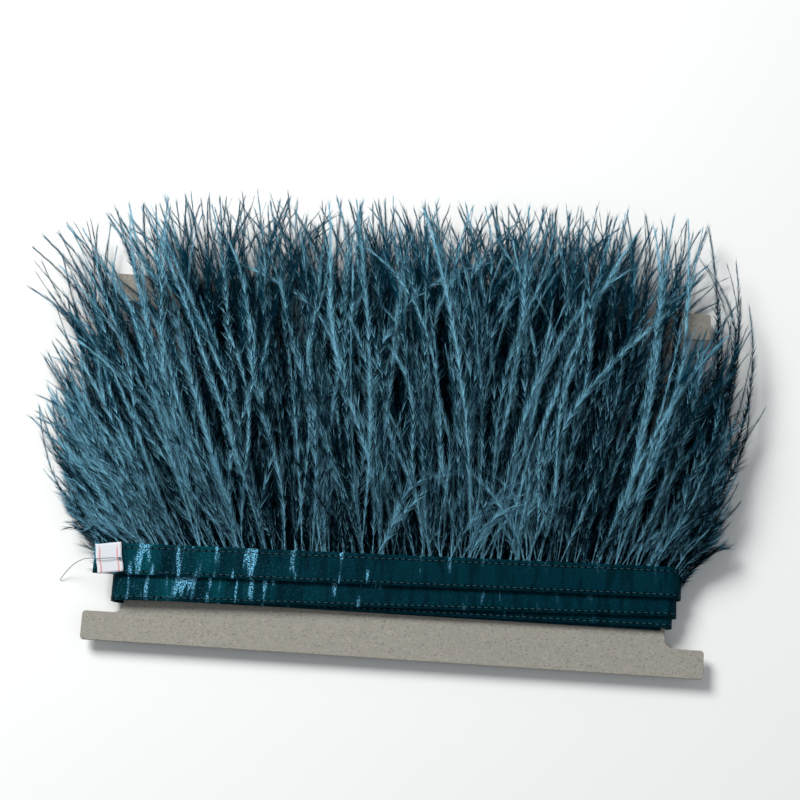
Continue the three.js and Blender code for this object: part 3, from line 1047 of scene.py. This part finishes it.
def flue_tree():
    """Grows a tapering stem and two rows of fine hairs along each guide line."""
    tree, given, put = tree_for("Flues", [
        ("Stem Radius", "NodeSocketFloat", 0.2 * MM),
        ("Barbule Pitch", "NodeSocketFloat", 0.3 * MM),
        ("Barbule Length", "NodeSocketFloat", 4 * MM),
        ("Barbule Width", "NodeSocketFloat", 0.12 * MM),
        ("Barbule Angle", "NodeSocketFloat", 0.4),
        ("Root Share", "NodeSocketFloat", 0.2),
        ("Down Width", "NodeSocketFloat", 1.0),
        ("Down Spread", "NodeSocketFloat", 1.0),
        ("Card Face", "NodeSocketFloat", 0.0),
        ("Outward", "NodeSocketFloat", 1.0),
        ("Seed", "NodeSocketInt", 0),
        ("Material", "NodeSocketMaterial", None)])
    curve = node(tree, "GeometryNodeMeshToCurve", {"Mesh": given.outputs["Geometry"]}).outputs[0]

    def attribute(name):
        return node(tree, "GeometryNodeInputNamedAttribute", {"Name": name},
                    data_type="FLOAT").outputs["Attribute"]

    def put_map(geometry, across, along):
        place = node(tree, "ShaderNodeCombineXYZ", {0: across, 1: along}).outputs[0]
        for name in ("UVMap", "OFBake"):
            geometry = node(tree, "GeometryNodeStoreNamedAttribute",
                            {"Geometry": geometry, "Name": name, "Value": place},
                            data_type="FLOAT2", domain="CORNER").outputs[0]
        return geometry

    def random(low, high, salt):
        made = node(tree, "FunctionNodeRandomValue", data_type="FLOAT")
        made.inputs[2].default_value = low
        made.inputs[3].default_value = high
        tree.links.new(maths(tree, "ADD", given.outputs["Seed"], float(salt)), made.inputs["Seed"])
        return made.outputs[1]

    along, tint = attribute("along"), attribute("tint")
    corner = maths(tree, "MODULO", node(tree, "GeometryNodeInputIndex").outputs[0], 3.0)

    profile = node(tree, "GeometryNodeCurvePrimitiveCircle",
                   {"Resolution": 3, "Radius": given.outputs["Stem Radius"]}).outputs[0]
    taper = ranged(tree, along, 0.1, 0.9, 1.0, 0.1, smooth=False)
    stem = node(tree, "GeometryNodeCurveToMesh",
                {"Curve": curve, "Profile Curve": profile, "Scale": taper}).outputs[0]
    stem = put_map(stem, maths(tree, "MULTIPLY_ADD", tint, TINT_SPREAD,
                               maths(tree, "MULTIPLY_ADD", corner, STEM_CORNERS, STEM_PLACE)),
                   maths(tree, "MULTIPLY_ADD", along, 0.96, 0.01))

    spread = node(tree, "GeometryNodeCurveToPoints",
                  {"Curve": curve, "Length": given.outputs["Barbule Pitch"]}, mode="LENGTH")
    tangent = spread.outputs["Tangent"]
    clumps = node(tree, "ShaderNodeTexNoise", {"Scale": 850.0, "Detail": 1.0}).outputs[0]
    shade = maths(tree, "MULTIPLY_ADD", maths(tree, "SUBTRACT", clumps, 0.5), 3.6,
                  random(-0.32, 0.32, 5))
    shaded = node(tree, "GeometryNodeStoreNamedAttribute",
                  {"Geometry": spread.outputs[0], "Name": "shade", "Value": shade},
                  data_type="FLOAT", domain="POINT").outputs[0]
    level = vector_maths(tree, "NORMALIZE", vector_maths(tree, "CROSS_PRODUCT",
                                                         (0.0, 0.0, 1.0), tangent))
    turn = maths(tree, "ADD", attribute("twist"), random(-0.7, 0.7, 1))
    sideways = node(tree, "ShaderNodeVectorRotate",
                    {"Vector": level, "Axis": tangent, "Angle": turn},
                    rotation_type="AXIS_ANGLE").outputs[0]
    parity = maths(tree, "MODULO", node(tree, "GeometryNodeInputIndex").outputs[0], 2.0)
    hand = maths(tree, "MULTIPLY_ADD", parity, 2.0, -1.0)
    angle = maths(tree, "MULTIPLY", given.outputs["Barbule Angle"], random(0.6, 1.45, 2))
    angle = maths(tree, "MULTIPLY", angle,
                  ranged(tree, along, 0.5, 0.95, given.outputs["Down Spread"], 1.0))
    angle = maths(tree, "MULTIPLY", angle, ranged(tree, along, 0.82, 1.0, 1.0, 0.4))
    forward = node(tree, "ShaderNodeVectorMath",
                   {0: tangent, "Scale": maths(tree, "COSINE", angle)},
                   operation="SCALE").outputs[0]
    off = node(tree, "ShaderNodeVectorMath",
               {0: sideways, "Scale": maths(tree, "MULTIPLY", maths(tree, "SINE", angle), hand)},
               operation="SCALE").outputs[0]
    reach = vector_maths(tree, "ADD", forward, off)
    flat = vector_maths(tree, "CROSS_PRODUCT", tangent, sideways)
    flat = node(tree, "ShaderNodeVectorRotate",
                {"Vector": flat, "Axis": reach, "Angle": random(-1.1, 1.1, 4)},
                rotation_type="AXIS_ANGLE").outputs[0]
    rotation = node(tree, "FunctionNodeAxesToRotation",
                    {"Primary Axis": reach, "Secondary Axis": flat},
                    primary_axis="X", secondary_axis="Z").outputs[0]
    full = maths(tree, "MULTIPLY",
                 ranged(tree, along, 0.0, 0.24, given.outputs["Root Share"], 1.0),
                 ranged(tree, along, 0.8, 1.0, 1.15, 0.9))
    size = maths(tree, "MULTIPLY", attribute("size"), random(0.45, 1.3, 3))
    length = maths(tree, "MULTIPLY", maths(tree, "MULTIPLY", full, size),
                   given.outputs["Barbule Length"])
    width = maths(tree, "MULTIPLY", given.outputs["Barbule Width"],
                  ranged(tree, along, 0.5, 0.95, given.outputs["Down Width"], 0.9))
    scale = node(tree, "ShaderNodeCombineXYZ", {0: length, 1: width, 2: 1.0}).outputs[0]
    blade = node(tree, "GeometryNodeMeshCircle", {"Vertices": 3, "Radius": 1.0}, fill_type="NGON")
    blade = node(tree, "GeometryNodeTransform",
                 {"Geometry": blade.outputs[0], "Translation": (1 / 3, 0.0, 0.0),
                  "Scale": (2 / 3, 1 / math.sqrt(3), 1.0)}).outputs[0]
    hairs = node(tree, "GeometryNodeInstanceOnPoints",
                 {"Points": shaded, "Instance": blade, "Rotation": rotation,
                  "Scale": scale}).outputs[0]
    hairs = node(tree, "GeometryNodeRealizeInstances", {0: hairs}).outputs[0]
    own = maths(tree, "ADD", attribute("tint"), attribute("shade"))
    own = ranged(tree, own, 0.25, 0.98)
    second, third = [maths(tree, "MULTIPLY", maths(tree, "COMPARE", corner, number, 0.5),
                           HAIR_CORNERS) for number in (1.0, 2.0)]
    hairs = put_map(hairs,
                    maths(tree, "ADD",
                          maths(tree, "MULTIPLY_ADD", own, TINT_SPREAD, HAIR_PLACE), second),
                    maths(tree, "ADD", maths(tree, "MULTIPLY_ADD", along, 0.95, 0.01), third))
    both = node(tree, "GeometryNodeJoinGeometry")
    tree.links.new(stem, both.inputs[0])
    tree.links.new(hairs, both.inputs[0])
    x, y, z = node(tree, "ShaderNodeSeparateXYZ",
                   {0: node(tree, "GeometryNodeInputPosition").outputs[0]}).outputs
    over_card = maths(tree, "MULTIPLY",
                      maths(tree, "LESS_THAN", maths(tree, "ABSOLUTE", x), CARD[1].x + CARD_MARGIN),
                      maths(tree, "LESS_THAN", y, CARD[1].y + CARD_MARGIN))
    away = maths(tree, "ABSOLUTE", maths(tree, "SUBTRACT", z, given.outputs["Card Face"]))
    bent_back = maths(tree, "MULTIPLY_ADD", away, given.outputs["Outward"],
                      given.outputs["Card Face"])
    z = maths(tree, "MULTIPLY_ADD", maths(tree, "SUBTRACT", bent_back, z), over_card, z)
    raised = maths(tree, "ADD", maths(tree, "ABSOLUTE", z), 0.05 * MM)
    raised = node(tree, "ShaderNodeCombineXYZ", {0: x, 1: y, 2: raised})
    above = node(tree, "GeometryNodeSetPosition",
                 {"Geometry": both.outputs[0], "Position": raised.outputs[0]})
    done = node(tree, "GeometryNodeSetMaterial",
                {"Geometry": above.outputs[0], "Material": given.outputs["Material"]})
    tree.links.new(done.outputs[0], put.inputs[0])
    return tree


# The fan: places along the header, in millimetres from its middle, and the lean in degrees
LEFT_FAN = ([0, 50, 75, 100, 124], [5, 15, 26, 36, 39])
RIGHT_FAN = ([0, 55, 90, 111, 124], [-5, 3, 13, 24, 32])

# Waves of the upper outline: place, half width and how much higher it is there, in millimetres
OUTLINE_WAVES = ((-90, 34, 5), (-52, 10, 6), (-32, 8, -9), (64, 16, 1))

# How far out the flues reach on each side, from the middle
LEFT_REACH = 154 * MM
RIGHT_REACH = 142 * MM

# The card's two upper corners stay bare: how much of each, and how far in from its edges
BARE_CORNERS = ((-1, 5 * MM), (1, 7 * MM))
CORNER_INSET = 6 * MM

# Curled groups on the outer pass: from and to in millimetres, how far they turn, their share
CURLED_GROUPS = ((-14, 10, 1.1, 0.30), (22, 44, 1.8, 0.42), (52, 66, -1.2, 0.3))


def fan_heading(x):
    """How far the flues lean outwards, in radians, where they leave the header at x."""
    left = np.interp(-x, np.array(LEFT_FAN[0]) * MM, LEFT_FAN[1])
    right = np.interp(x, np.array(RIGHT_FAN[0]) * MM, RIGHT_FAN[1])
    return np.radians(np.where(x < 0, -left, right))


def reach_from(x, heading):
    """How long the flues may be that leave the header at x with this heading, before they
    pass the outline of the plumes: an uneven top, two soft corners and two sides."""
    drop = 8 * MM * np.clip((x - 95 * MM) / (30 * MM), 0, 1)
    for place, width, more in OUTLINE_WAVES:
        drop -= more * MM * np.exp(-((x - place * MM) / (width * MM)) ** 2)
    up = (settings().plumes.length - drop) / np.maximum(np.cos(heading), 0.3)
    lean = np.clip((np.abs(heading) - math.radians(36)) / math.radians(20), 0, 1)
    side = np.where(heading < 0, LEFT_REACH + x, RIGHT_REACH - x) * (1 - 0.45 * lean)
    out = np.maximum(side, 14 * MM) / np.maximum(np.abs(np.sin(heading)), 0.05)
    return (up ** -5 + out ** -5) ** -0.2


def free_height(x, number):
    """Where nothing holds the flues of a pass down any more: over the highest ribbon edge of
    this pass and of those wound on top of it."""
    left = [LOWEST_CENTRE + rise for rise in LEFT_FOLD_RISE]
    right = [LOWEST_CENTRE + rise for rise in RIGHT_FOLD_RISE]
    if number > 0:
        left.append(LOWEST_CENTRE + TAIL_RISE)
        right.insert(0, LOWEST_CENTRE + INNER_END_RISE)
    share = np.clip(0.5 + x / (2 * WAIST_HALF), 0, 1)
    outer = range(abs(number) - 1, len(left))
    middles = [left[i] + (right[i] - left[i]) * share for i in outer]
    return np.max(middles, axis=0) + RIBBON_WIDTH / 2 + SEAT_GAP


def clear_of_corners(lines):
    """By how much to shorten flues that would cover the card's two upper corners."""
    keep = np.ones(len(lines))
    for side, radius in BARE_CORNERS:
        corner = np.array([side * (CARD[1].x - CORNER_INSET), CARD[1].y - CORNER_INSET])
        away = np.linalg.norm(lines[:, :, :2] - corner, axis=2)
        close = away < radius
        first = np.argmax(close, axis=1) / (lines.shape[1] - 1)
        keep = np.where(close.any(axis=1), np.minimum(keep, first - 0.08), keep)
    return np.clip(keep, 0.3, 1)


def curl_over(rng, x, lift, heading, curl, length, steep):
    """Makes the curled groups of the outer pass, in place, and says which flues they are."""
    count = len(x)
    bent = np.zeros(count, bool)
    for near, far, turns, share in CURLED_GROUPS:
        here = (x > near * MM) & (x < far * MM) & (rng.random(count) < share)
        heading[here] = (np.sign(turns) * rng.uniform(0.05, 0.5, count))[here]
        curl[here] = (turns * rng.uniform(0.6, 1.15, count))[here]
        length[here] = (rng.uniform(30, 62, count) * MM)[here]
        steep[here] = lift * 1.9
        bent |= here
    return bent


def kept_inside(root, body):
    """Flues, as moves from their roots, shrunk where they would pass the limits or cover the
    card's corners."""
    reach = np.abs(root[:, :1] + body[:, :, 0]).max(axis=1)
    top = (root[:, 1:2] + body[:, :, 1]).max(axis=1)
    room = (SIDE_LIMIT - np.abs(root[:, 0])) / np.maximum(reach - np.abs(root[:, 0]), 1 * MM)
    room = np.minimum(room, (TOP_LIMIT - root[:, 1]) / (top - root[:, 1]))
    body = body * np.clip(room, 0.2, 1)[:, None, None]
    return body * clear_of_corners(root[:, None, :] + body)[:, None, None]


def lay_flues(rng, number, count, lift, strays, broken, paleness_and_shade):
    """Guide lines for the flues of one pass. number is the pass as in header_route, and lift
    how steeply they leave the header. Returns lines, root x, and what each point carries."""
    route = header_route(settings().header.station_step)
    along = lengths_along(route)
    on_pass = route[:, 5] == number
    start, end = along[on_pass].min(), along[on_pass].max()
    bundle = rng.uniform(0, 1, int((end - start) / BUNDLE_PITCH) + 1)
    bundle = start + (end - start) * (np.arange(len(bundle)) + 0.25 + 0.5 * bundle) / len(bundle)
    member = rng.integers(0, len(bundle), count)
    bundle_size = rng.normal(1.0, 0.06, len(bundle))[member]
    spot = rng.normal(0, 1, count)
    places = np.clip(bundle[member] + spot * BUNDLE_WIDTH, start, end)
    x, z, out_x, out_z, middle = [np.interp(places, along, route[:, i]) for i in range(5)]
    root = np.stack([x + ROOT_OFFSET * out_x, middle + RIBBON_WIDTH / 2 - ROOT_BELOW_EDGE,
                     z + ROOT_OFFSET * out_z], axis=1)

    which = np.floor(x / LOCK_WIDTH + 0.3 * np.sin(x / LOCK_WIDTH * 1.7)).astype(int)
    which -= which.min()
    locks = which.max() + 1
    lock_lean = rng.normal(0, math.radians(6), locks)[which]
    lock_lift = rng.normal(0, 0.22, locks)[which]
    lock_curl = rng.normal(0, math.radians(14), locks)[which]
    lock_size = rng.normal(1.0, 0.045, locks)[which]

    fan = fan_heading(x)
    wild = rng.random(count) < strays
    heading = fan + lock_lean + spot * math.radians(6) + rng.normal(0, math.radians(4), count)
    heading += wild * rng.normal(0, math.radians(9), count)
    curl = lock_curl + rng.normal(0, math.radians(10), count) + 0.12 * fan - 1.1 * lock_lean
    curl -= spot * math.radians(11)
    curl += wild * rng.normal(0, math.radians(22), count)
    aim = np.clip(heading + 0.38 * curl, -1.0, 1.0)
    short = np.where(rng.random(count) < broken, rng.beta(1.3, 1.5, count) * 0.62, 0.0)
    length = reach_from(x, aim) * lock_size * bundle_size * rng.normal(1.0, 0.04, count)
    length *= 1 - short
    length *= np.exp(rng.normal(0, 0.12, count) * np.abs(fan))
    length = np.clip(length, SHORTEST_FLUE, LONGEST_FLUE)
    tip_curl = rng.normal(0, math.radians(9), count)
    steep = lift * np.clip(1 + lock_lift + rng.normal(0, 0.22, count), 0.15, 1.8)
    steep *= 1 + 0.25 * wild + 0.9 * short

    bent = np.zeros(count, bool)
    if number == FRONT_PASSES:
        bent = curl_over(rng, x, lift, heading, curl, length, steep)

    t = np.linspace(0, 1, FLUE_STEPS)[None, :]
    sway = rng.normal(0, math.radians(7), count)[:, None] * np.sin(
        math.tau * (t * rng.uniform(0.7, 1.8, count)[:, None] + rng.random(count)[:, None]))
    turn = heading[:, None] + curl[:, None] * t ** 1.6 + tip_curl[:, None] * t ** 4 + sway
    rise = steep[:, None] * (1 - 1.55 * t ** 1.1)
    ahead = np.stack([np.sin(turn) * np.cos(rise), np.cos(turn) * np.cos(rise), np.sin(rise)], 2)
    steps = (ahead[:, 1:] + ahead[:, :-1]) / 2 * (length / (FLUE_STEPS - 1))[:, None, None]
    body = np.concatenate([np.zeros((count, 1, 3)), np.cumsum(steps, axis=1)], axis=1)

    held = np.maximum(free_height(x, number) - root[:, 1], 2.4 * MM)
    body[:, :, 0] += (held * np.tan(np.clip(turn[:, 0], -0.6, 0.6)))[:, None]
    body[:, :, 1] += held[:, None]
    body = kept_inside(root, body)
    lines = np.concatenate([root[:, None, :], root[:, None, :] + body], axis=1)
    share = np.concatenate([np.zeros((count, 1)), 0.03 + 0.97 * t + np.zeros((count, 1))], axis=1)

    at_side = np.clip((-x - 60 * MM) / (60 * MM), 0, 1)
    # Flues of higher locks are paler and those of lower locks darker, a painted shade by height;
    # the pass's paleness adds the painted shade of the inner passes, and flues are paler towards
    # the left side.
    tint = rng.normal(paleness_and_shade, 0.42, count) + 0.6 * lock_lift + (0.5 - 0.4 * paleness_and_shade) * at_side
    tint = np.clip(np.where(bent, 0.92, tint), 0.0, 1.0)
    twist = rng.normal(0, 0.5, count)[:, None] + rng.normal(0, 0.8, count)[:, None] * share
    size = np.clip(rng.normal(1.0, 0.2, count), 0.5, 1.5) * np.where(bent, 1.2, 1.0)
    return lines, x, {"along": share, "tint": tint[:, None] + 0 * share, "twist": twist,
                      "size": size[:, None] + 0 * share}


def hold_clear(lines, number):
    """Moves flues, in place, off the table and the card and under the height limit."""
    z = lines[:, :, 2]
    if number > 0:
        over_card = np.abs(lines[:, :, 0]) < CARD[1].x + CARD_MARGIN
        over_card &= lines[:, :, 1] < CARD[1].y + CARD_MARGIN
        low = np.where(over_card, CARD_TOP + 0.4 * MM, 1.2 * MM)
        z = np.where(z < low, low, z)
        soft = 0.72 * HEIGHT_LIMIT
        over = np.maximum(z - soft, 0) / (HEIGHT_LIMIT - soft)
        rounded = soft + (HEIGHT_LIMIT - soft) * (1 - np.exp(-over))
        lines[:, :, 2] = np.where(z > soft, rounded, z)
    else:
        lines[:, :, 2] = np.clip(z, 0.5 * MM, CARD_UNDERSIDE - 1.4 * MM)


# Each pass, outermost first: its pieces' name, flues, lift in degrees, shares of stray and of short
# flues, paleness, and how much wider and further apart its barbules are than the outer's. The inner
# passes' low paleness is painted shade, standing for the shade under the passes above them, and
# their wider barbules spread that dark over the card.
PASS_LOOKS = {
    4: ("front_pass_1", 285, 24, 0.10, 0.72, 0.58, 1.0, 1.0),
    3: ("front_pass_2", 295, 19, 0.09, 0.52, 0.18, 1.0, 1.0),
    2: ("front_pass_3", 320, 13, 0.06, 0.22, -0.16, 1.8, 1.1),
    1: ("front_pass_4", 340, 5, 0.04, 0.04, -0.25, 3.0, 1.3),
    -3: ("back_pass_1", 220, 0.5, 0.05, 0.55, 0.40, 1.3, 1.4),
    -2: ("back_pass_2", 180, 0.5, 0.05, 0.35, 0.25, 1.5, 1.5),
    -1: ("back_pass_3", 160, 0.5, 0.05, 0.20, 0.05, 2.4, 1.6),
}


class FRINGE_OT_plumes(bpy.types.Operator):
    """Grow the flues of the plumes on every pass of the header"""

    bl_idname = "fringe.plumes"
    bl_label = "Plumes"

    def execute(self, context):
        s = settings().plumes
        tree, material = flue_tree(), flue_material()
        for number, looks_of_pass in PASS_LOOKS.items():
            label, count, lift, strays, broken, pale, wider, apart = looks_of_pass
            seed = s.seed + 10 + number
            rng = np.random.default_rng(seed)
            lines, x, looks = lay_flues(rng, number, count, math.radians(lift), strays, broken,
                                        pale)
            hold_clear(lines, number)
            front = number > 0
            plumes = FRONT_PLUMES if front else BACK_PLUMES
            for side, chosen in (("left", x < 0), ("right", x >= 0)):
                picked = {title: values[chosen] for title, values in looks.items()}
                source = guide_object(f"{label}_{side}_guides", lines[chosen], picked)
                piece = grown(f"{label}_plumes_{side}", source, tree, {
                    "Stem Radius": s.stem_radius,
                    "Barbule Pitch": s.barbule_pitch * apart,
                    "Barbule Length": s.barbule_length, "Barbule Width": s.barbule_width,
                    "Down Width": wider, "Down Spread": min(wider, 1.8),
                    "Card Face": (CARD_TOP + CARD_CLEARANCE if front
                                  else CARD_UNDERSIDE - CARD_CLEARANCE),
                    "Outward": 1.0 if front else -1.0,
                    "Barbule Angle": s.barbule_angle, "Seed": seed,
                    "Root Share": 0.25 if wider < 1.5 else 0.9,
                    "Material": material})
                names = [f"{label}_plume_{i + 1}" for i in range(plumes)]
                half = (plumes + 1) // 2
                mine = names[:half] if side == "left" else names[half:]
                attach(piece, TRIM)
                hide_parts(*mine)
        return {"FINISHED"}


# ---- Stage -----------------------------------------------------------------


# Where the camera aims, from the middle of the card
AIM_X = -3.9 * MM
AIM_Y = 34 * MM

SENSOR_WIDTH_MM = 36
FLOOR_REACH = 3.0
LIT_POINT = Vector((0, 0, 20 * MM))


class FRINGE_OT_stage(bpy.types.Operator):
    """Set up the pale floor, the soft light and the camera"""

    bl_idname = "fringe.stage"
    bl_label = "Stage"

    def execute(self, context):
        s = settings().stage
        self.camera(s)
        corners = [(x * FLOOR_REACH, y * FLOOR_REACH, 0)
                   for x, y in ((-1, -1), (1, -1), (1, 1), (-1, 1))]
        floor = mesh_object("floor", corners, [(0, 1, 2, 3)])
        material, tree, surface = new_material("pale floor")
        speck = use_group(tree, shared_group("Speckle", speckle_group), {"Scale": 60.0})
        tint = colour_mix(tree, ranged(tree, speck.outputs["Cloud"], 0.3, 0.7, 0.0, 0.5),
                          rgba(s.floor), rgba(s.floor, 0.97))
        set_inputs(tree, surface, {"Base Color": tint, "Roughness": 0.8})
        floor.data.materials.append(material)
        self.light("key", (-0.85, 0.75, 1.15), size=0.75, power=33, colour=(1.0, 0.99, 0.97))
        self.light("fill", (0.9, -0.5, 1.3), size=1.4, power=3, colour=(0.95, 0.98, 1.0))
        world = bpy.data.worlds.new("soft room")
        bpy.context.scene.world = world
        world.use_nodes = True
        sky = world.node_tree.nodes["Background"]
        set_inputs(world.node_tree, sky, {"Color": (0.93, 0.97, 1.0, 1), "Strength": 0.32})
        bpy.context.scene.view_settings.view_transform = "Standard"
        return {"FINISHED"}

    def camera(self, s):
        aim = Vector(((CARD[0].x + CARD[1].x) / 2 + AIM_X,
                      (CARD[0].y + CARD[1].y) / 2 + AIM_Y, CARD_TOP))
        back = Vector((math.sin(s.swing) * math.sin(s.tilt),
                       -math.cos(s.swing) * math.sin(s.tilt), math.cos(s.tilt)))
        right = Vector((0, 1, 0)).cross(back).normalized()
        up = back.cross(right)
        turned_right = math.cos(s.roll) * right + math.sin(s.roll) * up
        turned_up = -math.sin(s.roll) * right + math.cos(s.roll) * up
        data = bpy.data.cameras.new("camera")
        data.lens = s.lens
        data.sensor_width = SENSOR_WIDTH_MM
        data.clip_start = 0.01
        camera = add_object("camera", data)
        axes = Matrix((turned_right, turned_up, back)).transposed()
        camera.matrix_world = Matrix.Translation(aim + s.distance * back) @ axes.to_4x4()
        bpy.context.scene.camera = camera

    def light(self, name, place, size, power, colour):
        data = bpy.data.lights.new(name, "AREA")
        data.shape = "DISK"
        data.size = size
        data.energy = power
        data.color = colour
        lamp = add_object(name, data)
        direction = LIT_POINT - Vector(place)
        turn = direction.to_track_quat("-Z", "Y").to_matrix().to_4x4()
        lamp.matrix_world = Matrix.Translation(place) @ turn


class FRINGE_PT_panel(bpy.types.Panel):
    """Buttons for the pieces of the trim"""

    bl_idname = "FRINGE_PT_panel"
    bl_label = "Feather fringe"
    bl_space_type = "VIEW_3D"
    bl_region_type = "UI"
    bl_category = "Fringe"

    def draw(self, context):
        for operator in OPERATORS:
            self.layout.operator(operator.bl_idname)


OPERATORS = [FRINGE_OT_stage, FRINGE_OT_label, FRINGE_OT_card, FRINGE_OT_ribbons,
             FRINGE_OT_seams, FRINGE_OT_plumes]
CLASSES = [CardSettings, HeaderSettings, PlumeSettings, StageSettings, FringeSettings,
           *OPERATORS, FRINGE_PT_panel]


def register():
    for item in CLASSES:
        bpy.utils.register_class(item)
    bpy.types.Scene.fringe = PointerProperty(type=FringeSettings)


def unregister():
    del bpy.types.Scene.fringe
    for item in reversed(CLASSES):
        bpy.utils.unregister_class(item)


def main():
    register()
    for operator in OPERATORS:
        group, action = operator.bl_idname.split(".")
        getattr(getattr(bpy.ops, group), action)()


if __name__ == "__main__":
    main()
